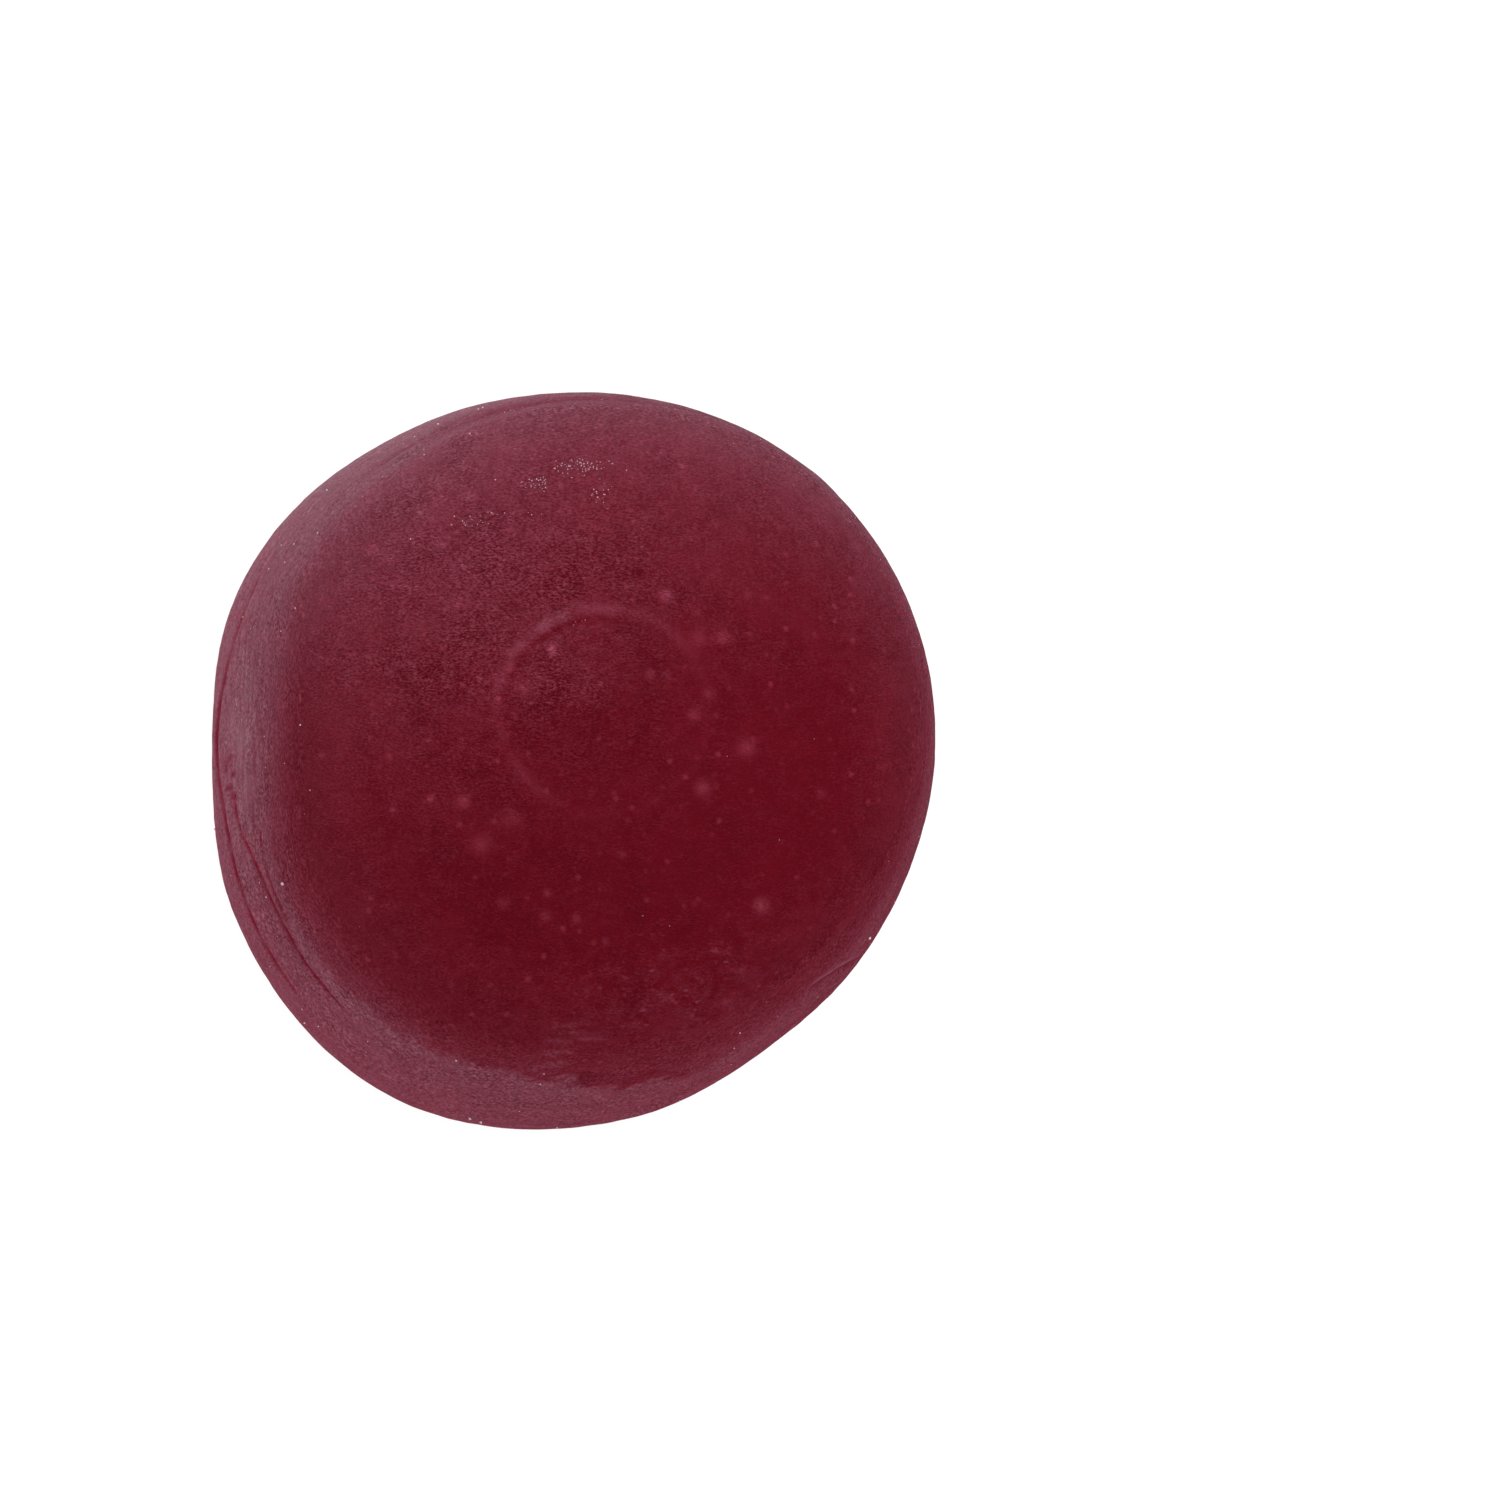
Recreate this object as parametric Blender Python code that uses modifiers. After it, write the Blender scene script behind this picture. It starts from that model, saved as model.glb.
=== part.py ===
"""A round gummy candy, cast in a starch mould and turned out onto its poured side.

The drop is one solid: a turned blank with steep sides, a rounded shoulder, a low
dome and a faint ring mark on top. The blank is then handled as the soft piece was:
its sides are pressed out of round, it leans a little, one side is flattened, and
the skin has folded into creases along the lower wall.

Metres, +Z up. The origin is the middle of the foot, on the surface it rests on.
"""

import bpy
import numpy as np

MM = 0.001

# Turned blank, all lengths in millimetres
HEIGHT = 9.8                 # over the middle of the dome
BLANK_RADIUS = 8.62          # widest, just above the lower rim
RIM_ROUND = 1.0              # rounding of the lower rim
WALL_DRAFT = 10.3            # degrees that the wall leans in from upright
WALL_LENGTH = 6.2            # from the rim's rounding to the shoulder's
WALL_BULGE = 0.03            # swell of the wall between its ends
SHOULDER_ROUND = 1.9         # rounding between wall and dome
FOOT_INNER = 5.6             # inner edge of the flat foot
DISH_DEPTH = 0.25            # hollow of the poured side inside the foot

# Ring mark left by the mould on top
RING_RADIUS = 2.38
RING_WIDTH = 0.11            # half the width of the raised lip
RING_HEIGHT = 0.05
RING_SINK = 0.03             # the disc inside the ring lies this much lower

# The candy's centre line leans, so its top sits to one side of its foot
LEAN = (-0.36, 0.31)

# Sides pressed in (or swollen, if negative) where pieces lay against each other:
# direction in degrees from +X, depth, half width in degrees, share left at the shoulder
PRESSED_SIDES = (
    (303.0, 0.12, 10.0, 1.0),
    (124.0, 0.10, 11.0, 1.0),
    (96.0, 0.27, 22.0, 1.0),
    (240.0, -0.30, 18.0, 1.0),
    (322.0, 0.55, 33.5, 0.55),
)

# The flat on the left side, as if the candy had stood against a plate
FLAT_DISTANCE = 8.19         # from the centre line, at the rim's height
FLAT_DRAFT = 9.7             # degrees that the plate leaned in
FLAT_EASE = 0.2              # how softly the flat runs into the round

# Creases along the wall: from and to in degrees, height, then how far the crease
# dips, the direction where it dips most and the half width of that dip in degrees,
# then the crease's own depth and half width
CREASES = (
    (154.0, 228.0, 2.25, 1.15, 179.0, 9.0, 0.12, 0.15),
    (187.0, 232.0, 4.3, 1.6, 189.0, 7.0, 0.15, 0.15),
    (194.0, 214.0, 4.8, 0.1, 200.0, 7.0, 0.08, 0.13),
    (110.0, 133.0, 5.3, 0.5, 131.0, 6.0, 0.08, 0.16),
    (296.0, 334.0, 5.9, 2.6, 327.0, 6.0, 0.08, 0.18),
)

# Shallow dents and swells in the skin: middle, reach, depth (negative swells)
DENTS = (
    ((-0.3, -7.7, 5.6), 0.5, 0.16),
    ((1.3, -5.4, 8.8), 0.7, -0.06),
    ((2.4, -5.7, 8.0), 0.6, 0.09),
    ((0.3, -6.4, 8.3), 0.6, 0.07),
    ((5.2, -4.6, 6.6), 0.9, 0.09),
    ((-4.4, 6.3, 6.6), 0.8, 0.08),
    ((-4.6, 2.2, 9.0), 1.8, 0.06),
)

STEPS_AROUND = 84


def smooth_step(low, high, value):
    """0 below low, 1 above high, and an S-curve between them."""
    t = np.clip((value - low) / (high - low), 0.0, 1.0)
    return t * t * (3.0 - 2.0 * t)


def soft_excess(value, ease):
    """value where it is positive and 0 where it is not, with a rounded corner."""
    return 0.5 * (value + np.sqrt(value * value + ease * ease))


def angle_from(theta, degrees):
    """Signed angle in degrees from a direction, between -180 and 180."""
    return (np.degrees(theta) - degrees + 180.0) % 360.0 - 180.0


def blank_profile():
    """Radius and height of the turned blank, from the top's middle down its outer
    side to the middle of the foot."""
    draft = np.radians(WALL_DRAFT)
    outward = np.array([np.cos(draft), np.sin(draft)])
    upward = np.array([-np.sin(draft), np.cos(draft)])
    rim_centre = np.array([BLANK_RADIUS - RIM_ROUND, RIM_ROUND])
    wall_foot = rim_centre + RIM_ROUND * outward
    wall_top = wall_foot + WALL_LENGTH * upward
    shoulder_centre = wall_top - SHOULDER_ROUND * outward

    # the dome's circle touches the shoulder's circle and the top of the centre line
    reach, rise = shoulder_centre[0], HEIGHT - shoulder_centre[1]
    dome_radius = (reach**2 + rise**2 - SHOULDER_ROUND**2) / (2.0 * (rise - SHOULDER_ROUND))
    dome_edge = np.arcsin(reach / (dome_radius - SHOULDER_ROUND))

    ring_rows = RING_RADIUS + RING_WIDTH * np.array([-3.0, -1.9, -1.0, 0.0, 1.0, 1.9, 3.0])
    inner_rows = np.linspace(0.0, ring_rows[0], 5)[:-1]
    outer_rows = np.linspace(ring_rows[-1], dome_radius * np.sin(dome_edge), 9)[1:]
    radius = np.concatenate([inner_rows, ring_rows, outer_rows])
    height = HEIGHT - dome_radius + np.sqrt(dome_radius**2 - radius**2)
    height += RING_HEIGHT * np.exp(-0.5 * ((radius - RING_RADIUS) / RING_WIDTH) ** 2)
    height -= RING_SINK * (1.0 - smooth_step(-RING_WIDTH, RING_WIDTH, radius - RING_RADIUS))
    dome = np.column_stack([radius, height])

    turn = np.linspace(0.5 * np.pi - dome_edge, draft, 8)[1:]
    shoulder = shoulder_centre + SHOULDER_ROUND * np.column_stack([np.cos(turn), np.sin(turn)])

    # rows on the wall lie close enough together to show its creases
    along = np.linspace(1.0, 0.0, 31)[1:]
    swell = WALL_BULGE * np.sin(np.pi * along)
    wall = wall_foot + np.outer(along * WALL_LENGTH, upward) + np.outer(swell, outward)

    turn = np.linspace(draft, -0.5 * np.pi, 7)[1:]
    rim = rim_centre + RIM_ROUND * np.column_stack([np.cos(turn), np.sin(turn)])

    foot_rows = np.linspace(rim_centre[0], FOOT_INNER, 3)[1:]
    foot = np.column_stack([foot_rows, np.zeros_like(foot_rows)])

    radius = np.linspace(FOOT_INNER, 0.0, 7)[1:]
    hollow = DISH_DEPTH * (1.0 - (radius / FOOT_INNER) ** 2) ** 2
    dish = np.column_stack([radius, hollow])
    return np.concatenate([dome, shoulder, wall, rim, foot, dish])


def turned_blank(name):
    """The profile turned about the centre line, as a plain mesh object."""
    profile = blank_profile() * MM
    outline = bpy.data.meshes.new(name)
    points = [(radius, 0.0, height) for radius, height in profile]
    edges = [(row, row + 1) for row in range(len(points) - 1)]
    outline.from_pydata(points, edges, [])
    blank = bpy.data.objects.new(name, outline)
    bpy.context.scene.collection.objects.link(blank)
    turn = blank.modifiers.new("turn", "SCREW")
    turn.angle = 2.0 * np.pi
    turn.steps = STEPS_AROUND
    turn.render_steps = STEPS_AROUND
    turn.use_merge_vertices = True
    turn.merge_threshold = 0.000001
    turn.use_smooth_shade = True
    return blank


def pressed(points):
    """The blank's points, in millimetres, after the soft candy was handled."""
    x, y, z = points.T
    theta = np.arctan2(y, x)
    radius = np.hypot(x, y)
    upper = smooth_step(2.0, 8.0, z)

    # pressed sides: the outline keeps its dents on the wall and loses them inward
    dent = np.zeros_like(theta)
    for direction, depth, half_width, at_shoulder in PRESSED_SIDES:
        share = 1.0 - (1.0 - at_shoulder) * upper
        dent += depth * share * np.exp(-0.5 * (angle_from(theta, direction) / half_width) ** 2)
    hold = smooth_step(RING_RADIUS + 3.0 * RING_WIDTH, 6.6, radius)
    radius = radius * (1.0 - hold * dent / BLANK_RADIUS)

    x = radius * np.cos(theta)
    y = radius * np.sin(theta)

    # the lean grows with height, so the foot stays where it is
    leaning = (z / HEIGHT) ** 2
    x = x + LEAN[0] * leaning
    y = y + LEAN[1] * leaning

    # the flat: whatever stands past the plate is pushed back to it
    past = -x - FLAT_DISTANCE + (z - RIM_ROUND) * np.tan(np.radians(FLAT_DRAFT))
    x = x + soft_excess(past, FLAT_EASE)

    # creases: narrow grooves along the wall that fade out at both ends
    wall_share = smooth_step(6.0, 7.0, radius)
    for start, end, height, dip, dip_at, dip_width, depth, half_width in CREASES:
        along = (np.degrees(theta) % 360.0 - start) / (end - start)
        line = height - dip * np.exp(-0.5 * (angle_from(theta, dip_at) / dip_width) ** 2)
        fade = smooth_step(0.0, 0.2, along) * smooth_step(0.0, 0.2, 1.0 - along)
        groove = depth * fade * wall_share * np.exp(-0.5 * ((z - line) / half_width) ** 2)
        x = x - groove * np.cos(theta)
        y = y - groove * np.sin(theta)

    # dents and swells go towards the middle of the body or away from it
    points = np.column_stack([x, y, z])
    inward = np.array([0.0, 0.0, 0.5 * HEIGHT]) - points
    inward /= np.linalg.norm(inward, axis=1, keepdims=True)
    shaped = points.copy()
    for middle, reach, depth in DENTS:
        away = np.sum((points - middle) ** 2, axis=1) / reach**2
        shaped += inward * (depth * np.exp(-away))[:, None]
    return shaped


def centred(points):
    """Points moved so that their box is centred on the origin and stands on z = 0."""
    low, high = points.min(axis=0), points.max(axis=0)
    middle = 0.5 * (low + high)
    return points - np.array([middle[0], middle[1], low[2]])


def gummy_material():
    """Deep wine-red gelatine with a dull skin."""
    material = bpy.data.materials.new("gelatine")
    material.use_nodes = True
    shader = material.node_tree.nodes["Principled BSDF"]
    shader.inputs["Base Color"].default_value = (0.135, 0.010, 0.022, 1.0)
    shader.inputs["Roughness"].default_value = 0.5
    shader.inputs["Metallic"].default_value = 0.0
    return material


def make_gummy(collection):
    """The candy: the turned blank pressed into its final shape."""
    blank = turned_blank("blank")
    graph = bpy.context.evaluated_depsgraph_get()
    mesh = bpy.data.meshes.new_from_object(blank.evaluated_get(graph))
    bpy.data.objects.remove(blank)
    mesh.name = "gummy"

    points = np.empty(len(mesh.vertices) * 3, dtype=np.float32)
    mesh.vertices.foreach_get("co", points)
    shaped = centred(pressed(points.reshape(-1, 3).astype(float) / MM)) * MM
    mesh.vertices.foreach_set("co", shaped.astype(np.float32).ravel())
    mesh.update()
    mesh.shade_smooth()
    mesh.materials.append(gummy_material())

    gummy = bpy.data.objects.new("gummy", mesh)
    collection.objects.link(gummy)
    return gummy


for leftover in list(bpy.data.objects):
    bpy.data.objects.remove(leftover)
candy = bpy.data.collections.new("gummy candy")
bpy.context.scene.collection.children.link(candy)
make_gummy(candy)
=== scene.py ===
"""Looks of a round wine-red gummy candy, seen from above on a white table."""

import bpy
import numpy as np
from mathutils import Matrix, Vector


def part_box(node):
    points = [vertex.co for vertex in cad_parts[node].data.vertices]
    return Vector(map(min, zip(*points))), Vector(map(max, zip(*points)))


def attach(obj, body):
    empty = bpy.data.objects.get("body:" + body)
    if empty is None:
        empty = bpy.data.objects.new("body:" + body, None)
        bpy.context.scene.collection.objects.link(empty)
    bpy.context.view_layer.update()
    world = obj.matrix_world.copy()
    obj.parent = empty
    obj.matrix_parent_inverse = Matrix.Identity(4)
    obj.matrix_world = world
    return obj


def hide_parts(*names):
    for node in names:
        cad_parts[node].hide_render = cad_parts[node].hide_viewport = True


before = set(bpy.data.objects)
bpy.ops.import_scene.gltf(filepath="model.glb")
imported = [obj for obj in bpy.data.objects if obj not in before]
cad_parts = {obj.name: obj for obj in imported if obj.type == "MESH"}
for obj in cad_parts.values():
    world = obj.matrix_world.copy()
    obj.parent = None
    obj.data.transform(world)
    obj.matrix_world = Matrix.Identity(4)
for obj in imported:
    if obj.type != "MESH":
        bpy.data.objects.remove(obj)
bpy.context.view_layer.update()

# ------------------------------------------------------------------ camera
# A long lens looks down on the candy, leaning about nine degrees off the upright
# towards its flattened side. Picture right is +X and picture up is +Y.
MM = 0.001
PICTURE_WIDTH = 34.33 * MM          # what the picture spans at the candy's rim
SENSOR_WIDTH = 36.0
CAMERA_DISTANCE = 350.0 * MM
CAMERA_LEAN = np.radians(8.6)
CAMERA_SIDE = np.radians(214.8)     # direction the camera leans towards, from +X
AIM_RIGHT = 4.12 * MM               # the candy stands left of the picture's middle
AIM_UP = 0.32 * MM
RIM_HEIGHT = 1.0 * MM
NEAREST_SEEN = 10.0 * MM

back = Vector((
    np.sin(CAMERA_LEAN) * np.cos(CAMERA_SIDE),
    np.sin(CAMERA_LEAN) * np.sin(CAMERA_SIDE),
    np.cos(CAMERA_LEAN),
))
up = Vector((0.0, 1.0, 0.0))
up = (up - back * up.dot(back)).normalized()
right = up.cross(back)
aim = right * AIM_RIGHT + up * AIM_UP + back * (RIM_HEIGHT * back.z)

lens = bpy.data.cameras.new("camera")
lens.sensor_width = SENSOR_WIDTH
lens.lens = SENSOR_WIDTH * CAMERA_DISTANCE / PICTURE_WIDTH
lens.clip_start = NEAREST_SEEN
camera = bpy.data.objects.new("camera", lens)
camera.matrix_world = Matrix.Translation(aim + back * CAMERA_DISTANCE) @ Matrix(
    (right, up, back)
).transposed().to_4x4()
bpy.context.scene.collection.objects.link(camera)
bpy.context.scene.camera = camera

# ------------------------------------------------------------------ studio
# A white light table that glows just bright enough to look pure white, a plain pale
# surround, and one soft box almost overhead, a little towards +X and +Y.
WHITE = (1.0, 1.0, 1.0, 1.0)
TABLE_REACH = 0.8
TABLE_PAINT = (0.12, 0.12, 0.12, 1.0)
TABLE_ROUGHNESS = 0.9
TABLE_GLOW = 0.93
SURROUND_LIGHT = 0.84
BOX_SIDE = np.radians(60.0)         # direction of the soft box, from +X
BOX_RISE = np.radians(78.0)         # its height above the table
BOX_DISTANCE = 0.5
BOX_SIZE = 0.2
BOX_POWER = 1.4

table_mesh = bpy.data.meshes.new("table")
table_mesh.from_pydata(
    [(-TABLE_REACH, -TABLE_REACH, 0.0), (TABLE_REACH, -TABLE_REACH, 0.0),
     (TABLE_REACH, TABLE_REACH, 0.0), (-TABLE_REACH, TABLE_REACH, 0.0)],
    [], [(0, 1, 2, 3)],
)
table = bpy.data.objects.new("table", table_mesh)
bpy.context.scene.collection.objects.link(table)
table_paint = bpy.data.materials.new("white table")
table_paint.use_nodes = True
table_shader = table_paint.node_tree.nodes["Principled BSDF"]
table_shader.inputs["Base Color"].default_value = TABLE_PAINT
table_shader.inputs["Roughness"].default_value = TABLE_ROUGHNESS
table_shader.inputs["Emission Color"].default_value = WHITE
table_shader.inputs["Emission Strength"].default_value = TABLE_GLOW
table_mesh.materials.append(table_paint)

surround = bpy.data.worlds.new("surround")
surround.use_nodes = True
sky = surround.node_tree.nodes["Background"]
sky.inputs["Color"].default_value = WHITE
sky.inputs["Strength"].default_value = SURROUND_LIGHT
bpy.context.scene.world = surround
bpy.context.scene.view_settings.view_transform = "Standard"

soft_box = bpy.data.lights.new("soft box", "AREA")
soft_box.shape = "DISK"
soft_box.size = BOX_SIZE
soft_box.energy = BOX_POWER
box_stand = bpy.data.objects.new("soft box", soft_box)
box_stand.location = BOX_DISTANCE * Vector((
    np.cos(BOX_RISE) * np.cos(BOX_SIDE), np.cos(BOX_RISE) * np.sin(BOX_SIDE), np.sin(BOX_RISE)
))
box_stand.rotation_euler = box_stand.location.to_track_quat("Z", "Y").to_euler()
bpy.context.scene.collection.objects.link(box_stand)

# ------------------------------------------------------------------ candy
# One piece of wine-red gelatine, cast in a starch mould and turned out onto its
# poured side. It has steep sides, a low dome with a faint ring mark, and the dents,
# flat and creases that a soft piece takes on in its bag. Lengths are in millimetres
# and directions round the candy in degrees from +X.
HEIGHT = 9.8                        # over the middle of the dome
BLANK_RADIUS = 8.62                 # widest, just above the lower rim
RIM_ROUND = 1.0                     # rounding of the lower rim
WALL_DRAFT = np.radians(10.3)       # the wall's lean from upright
WALL_LENGTH = 6.2                   # from the rim's rounding to the shoulder's
WALL_BULGE = 0.03                   # swell of the wall between its ends
SHOULDER_ROUND = 1.9                # rounding between wall and dome
FOOT_INNER = 5.6                    # inner edge of the flat foot
DISH_DEPTH = 0.25                   # hollow of the poured side inside the foot

# rows of the grid down each stretch of the skin, and columns round it
DOME_ROWS, SHOULDER_ROWS, WALL_ROWS = 96, 28, 93
RIM_ROWS, FOOT_ROWS, DISH_ROWS = 14, 3, 9
COLUMNS = 400


def smooth_step(start, end, value):
    """0 at the start, 1 at the end, and an S-curve between them. The end may be less
    than the start."""
    t = np.clip((value - start) / (end - start), 0.0, 1.0)
    return t * t * (3.0 - 2.0 * t)


def bell(value, half_width):
    """1 where value is 0, falling off on both sides as a bell curve."""
    return np.exp(-0.5 * (value / half_width) ** 2)


def angle_from(direction):
    """Signed angle of the skin's columns from a direction, between -180 and 180."""
    return (np.degrees(theta) - direction + 180.0) % 360.0 - 180.0


def facing_way(direction, half_width):
    """1 on the side of the candy that looks in a direction, falling off both ways
    round it as a bell curve."""
    return bell(angle_from(direction), half_width)


def oval(place, reach):
    """1 at a place on the top, falling off from left to right and from front to back
    by the two reaches, and 0 on the lower half of the candy."""
    return np.exp(-((x - place[0]) / reach[0]) ** 2 - ((y - place[1]) / reach[1]) ** 2) * on_top


def waves(points, length, seed, count=48):
    """A smooth random relief of about unit size: the sum of plane waves that run in
    random directions, each close to one length from crest to crest."""
    draw = np.random.default_rng(seed)
    ways = draw.normal(size=(count, 3))
    ways /= np.linalg.norm(ways, axis=1, keepdims=True)
    turns = 2.0 * np.pi / (length * draw.uniform(0.7, 1.4, count))
    starts = draw.uniform(0.0, 2.0 * np.pi, count)
    total = np.zeros(points.shape[:-1])
    for way, turn, start in zip(ways, turns, starts):
        total += np.cos(points @ (way * turn) + start)
    return total * np.sqrt(2.0 / count)


def normals_of(grid):
    """Outward normals of a grid whose rows run down and whose columns run round: the
    step down crossed with the step round."""
    down = np.gradient(grid, axis=0)
    round_step = np.roll(grid, -1, axis=1) - np.roll(grid, 1, axis=1)
    normal = np.cross(down, round_step)
    return normal / np.maximum(np.linalg.norm(normal, axis=-1, keepdims=True), 1e-12)


def profile():
    """Radius and height of the turned blank, from the middle of the top to the middle
    of the foot: a dome, a rounded shoulder, a leaning wall, a rounded rim, a flat
    foot and a shallow dish, each running into the next without a corner."""
    outward = np.array([np.cos(WALL_DRAFT), np.sin(WALL_DRAFT)])
    upward = np.array([-np.sin(WALL_DRAFT), np.cos(WALL_DRAFT)])
    rim_centre = np.array([BLANK_RADIUS - RIM_ROUND, RIM_ROUND])
    wall_foot = rim_centre + RIM_ROUND * outward
    shoulder_centre = wall_foot + WALL_LENGTH * upward - SHOULDER_ROUND * outward

    # the dome's circle touches the shoulder's circle and the top of the centre line
    reach, rise = shoulder_centre[0], HEIGHT - shoulder_centre[1]
    dome_radius = (reach**2 + rise**2 - SHOULDER_ROUND**2) / (2.0 * (rise - SHOULDER_ROUND))
    dome_edge = np.arcsin(reach / (dome_radius - SHOULDER_ROUND))
    radius = np.linspace(0.0, dome_radius * np.sin(dome_edge), DOME_ROWS)
    dome = np.column_stack([radius, HEIGHT - dome_radius + np.sqrt(dome_radius**2 - radius**2)])

    turn = np.linspace(0.5 * np.pi - dome_edge, WALL_DRAFT, SHOULDER_ROWS + 1)[1:]
    shoulder = shoulder_centre + SHOULDER_ROUND * np.column_stack([np.cos(turn), np.sin(turn)])
    along = np.linspace(1.0, 0.0, WALL_ROWS + 1)[1:]
    wall = wall_foot + np.outer(along * WALL_LENGTH, upward)
    wall += np.outer(WALL_BULGE * np.sin(np.pi * along), outward)
    turn = np.linspace(WALL_DRAFT, -0.5 * np.pi, RIM_ROWS + 1)[1:]
    rim = rim_centre + RIM_ROUND * np.column_stack([np.cos(turn), np.sin(turn)])
    radius = np.linspace(rim_centre[0], FOOT_INNER, FOOT_ROWS + 1)[1:]
    foot = np.column_stack([radius, np.zeros_like(radius)])
    radius = np.linspace(FOOT_INNER, 0.0, DISH_ROWS + 1)[1:]
    dish = np.column_stack([radius, DISH_DEPTH * (1.0 - (radius / FOOT_INNER) ** 2) ** 2])
    return np.concatenate([dome, shoulder, wall, rim, foot, dish])


# the turned blank: path is the way down the skin from the middle of the top
rows = profile()
theta = np.linspace(0.0, 2.0 * np.pi, COLUMNS, endpoint=False)
theta = np.broadcast_to(theta, (len(rows), COLUMNS))
radius = np.broadcast_to(rows[:, :1], theta.shape)
z = np.broadcast_to(rows[:, 1:], theta.shape)
path = np.cumsum(np.hypot(*np.diff(rows, axis=0, prepend=rows[:1]).T))[:, None]
on_top = z > 0.5 * HEIGHT

# the ring mark: a raised lip round a disc that lies a little lower. The lip is a bit
# out of round, and stands to its full height on one side only.
RING_RADIUS = 2.33
RING_WIDTH = 0.12                   # half the width of the lip
RING_HEIGHT = 0.05
RING_FAINT = 0.45                   # share of its height on the other side
RING_SINK = 0.03
RING_FULL = (118.0, 50.0)           # direction where it is full, and half width
# where the lip runs nearer its middle: share of the radius, direction, half width
RING_NEARER = ((0.055, 102.0, 30.0), (0.035, 217.0, 22.0))

from_ring = radius - RING_RADIUS * (1.0 - sum(
    share * facing_way(direction, half_width) for share, direction, half_width in RING_NEARER
))
lip_strength = RING_FAINT + (1.0 - RING_FAINT) * facing_way(*RING_FULL)
z = z + on_top * RING_HEIGHT * lip_strength * bell(from_ring, RING_WIDTH)
z = z - on_top * RING_SINK * (1.0 - smooth_step(-RING_WIDTH, RING_WIDTH, from_ring))

# pressed sides: dents in the outline (or a swell, if negative) that fade inward on
# the top, as direction, depth, half width in degrees and share left at the shoulder
PRESSED_SIDES = (
    (303.0, 0.12, 10.0, 1.0),
    (124.0, 0.10, 11.0, 1.0),
    (96.0, 0.27, 22.0, 1.0),
    (240.0, -0.30, 18.0, 1.0),
    (322.0, 0.55, 33.5, 0.55),
)
PRESSED_HEIGHTS = (2.0, 8.0)        # between them the share changes
PRESSED_INWARD = (RING_RADIUS + 3.0 * RING_WIDTH, 6.6)

dent = np.zeros(theta.shape)
for direction, depth, half_width, at_shoulder in PRESSED_SIDES:
    share = 1.0 - (1.0 - at_shoulder) * smooth_step(*PRESSED_HEIGHTS, z)
    dent += depth * share * facing_way(direction, half_width)
pressed_radius = radius * (1.0 - smooth_step(*PRESSED_INWARD, radius) * dent / BLANK_RADIUS)

# the centre line leans: the top sits to one side of the foot, and the shift grows
# with the square of the height
LEAN = (-0.36, 0.31)

x = pressed_radius * np.cos(theta) + LEAN[0] * (z / HEIGHT) ** 2
y = pressed_radius * np.sin(theta) + LEAN[1] * (z / HEIGHT) ** 2

# the flat on the left: what stands past a leaning plate goes back to it, with a
# soft corner
FLAT_DISTANCE = 8.32                # from the centre line, at the rim's height
FLAT_DRAFT = np.radians(9.7)
FLAT_EASE = 0.35

past = -x - FLAT_DISTANCE + (z - RIM_ROUND) * np.tan(FLAT_DRAFT)
x = x + 0.5 * (past + np.sqrt(past**2 + FLAT_EASE**2))

# creases that show clean red gelatine, and soft folds that only catch the light, with a
# painted highlight on each fold's crest and painted shade in its hollow. Each is given
# from and to in degrees, its height, how the line bends (dip, direction and half width),
# then depth and half width.
RED_CREASES = (
    (149.0, 228.0, 2.25, ((1.15, 179.0, 9.0), (-0.45, 154.0, 7.0)), 0.075, 0.07),
    (185.0, 232.0, 4.30, ((1.60, 189.0, 7.0),), 0.090, 0.07),
    (194.0, 214.0, 4.80, ((0.10, 200.0, 7.0),), 0.050, 0.07),
)
SOFT_FOLDS = (
    (114.0, 131.0, 5.45, ((0.60, 116.5, 2.8),), 0.12, 0.22),
    (311.5, 327.5, 5.05, ((3.90, 330.0, 7.5),), 0.05, 0.20),
)
FADE_IN, FADE_OUT, LONG_FADE_OUT = 0.14, 0.20, 0.45     # as shares of the length
FADE_RADII = (6.0, 7.0)             # no crease reaches inside the smaller one
RED_DEPTH = 0.075                   # from this depth on, a crease is fully red
RED_BELOW = 0.06                    # the red lies this much below the groove
RED_WIDTH = 0.12
RED_WIDER = 0.09                    # added where it crosses the flat
RED_WIDER_AT = (176.0, 9.0)
REDNESS, REDNESS_VARIES, REDNESS_LEAST = 0.85, 0.25, 0.3
RED_PALER = 0.55                    # share of the red on the upper left of the flat
RED_PALER_AT = (160.0, 178.0)       # between these directions the red comes to the full
FOLD_DROP = 0.45                    # from a fold's crest, with its painted highlight, to its hollow, with its painted shade
FOLD_CREST = 0.14                   # half width of the crest and of its painted highlight


def course(start, end, height, bends):
    """How far along a crease the columns lie, how far above it the skin lies, and how
    strongly it shows there. The line runs level round the wall and bends by bell
    curves. The crease fades out at both ends, and where the wall becomes the top."""
    along = (np.degrees(theta) % 360.0 - start) / (end - start)
    line = height - sum(dip * facing_way(direction, reach) for dip, direction, reach in bends)
    shown = smooth_step(0.0, FADE_IN, along) * smooth_step(0.0, FADE_OUT, 1.0 - along)
    return along, z - line, shown * smooth_step(*FADE_RADII, pressed_radius)


groove = np.zeros(theta.shape)
red_fields = {}
red_width = RED_WIDTH + RED_WIDER * facing_way(*RED_WIDER_AT)
redness = REDNESS + REDNESS_VARIES * waves(np.stack([x, y, z], axis=-1), 0.6, seed=13)
redness = np.clip(redness, REDNESS_LEAST, 1.0)
redness *= RED_PALER + (1.0 - RED_PALER) * smooth_step(*RED_PALER_AT, np.degrees(theta))
for number, (*line, depth, half_width) in enumerate(RED_CREASES):
    along, above, shown = course(*line)
    groove += depth * shown * bell(above, half_width)
    red_fields[f"fold_{number}"] = (above + RED_BELOW) / red_width
    red_fields[f"fold_depth_{number}"] = min(depth / RED_DEPTH, 1.0) * shown * redness

# a painted highlight along each fold's crest and painted shade in its hollow
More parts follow.
